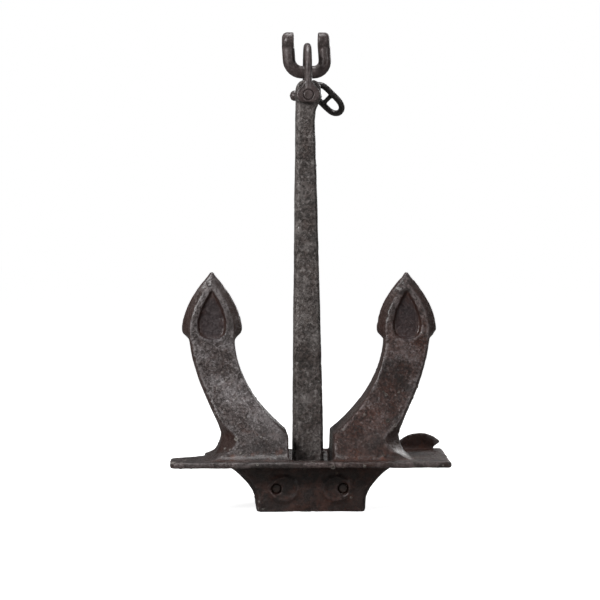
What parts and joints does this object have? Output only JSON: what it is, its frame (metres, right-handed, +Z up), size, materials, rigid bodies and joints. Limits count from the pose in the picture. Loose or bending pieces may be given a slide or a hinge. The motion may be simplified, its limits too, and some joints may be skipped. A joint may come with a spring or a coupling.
{
  "type": "stockless anchor",
  "caption": "Old stockless ship's anchor with rusted cast flukes, a tilting shank, a shackle on its head pin, a torn palm plate and a seized stud link, standing on its crown.",
  "frame": {"origin": "middle of the anchor's box at the level of its crown's flat foot; the shank's axis stands 9 mm to the left of it because the right wing of the palm is longer", "axes": "+Z up along the shank, +X to the right along the flukes, +Y to the back, away from the viewer"},
  "size_m": [0.976, 0.48, 1.656],
  "materials": {
    "head_iron": "pitted and scaled rust, waxed, with orange rust in the hollows",
    "shank_iron": "rough wrought face, dark rust, waxed",
    "pin_iron": "dull brown rust",
    "shackle_iron": "dark satin brown, smooth worn edges",
    "link_iron": "pitted dark rust"
  },
  "bodies": {
    "head": {"fluke_head": "head_iron", "crown_pin": "pin_iron", "lock_bolt_left": "pin_iron", "lock_bolt_right": "pin_iron"},
    "shank": {"shank": "shank_iron"},
    "anchor_shackle": {"anchor_shackle": "shackle_iron", "shackle_pin": "shackle_iron", "pin_keeper": "pin_iron", "stud_link": "link_iron", "link_stud": "link_iron"},
    "chain_shackle": {"chain_shackle": "shackle_iron"}
  },
  "joints": [
    {"name": "shank_tilt", "type": "hinge", "parent": "head", "child": "shank", "pos_m": [-0.009, 0, 0.128], "axis": [1, 0, 0], "range_deg": [-45, 45]},
    {"name": "shackle_swing", "type": "hinge", "parent": "shank", "child": "anchor_shackle", "pos_m": [-0.011, 0, 1.436], "axis": [0, 1, 0], "range_deg": [-90, 90]},
    {"name": "chain_shackle_swing", "type": "hinge", "parent": "anchor_shackle", "child": "chain_shackle", "pos_m": [-0.009, 0, 1.5175], "axis": [1, 0, 0], "range_deg": [-65, 90]}
  ]
}
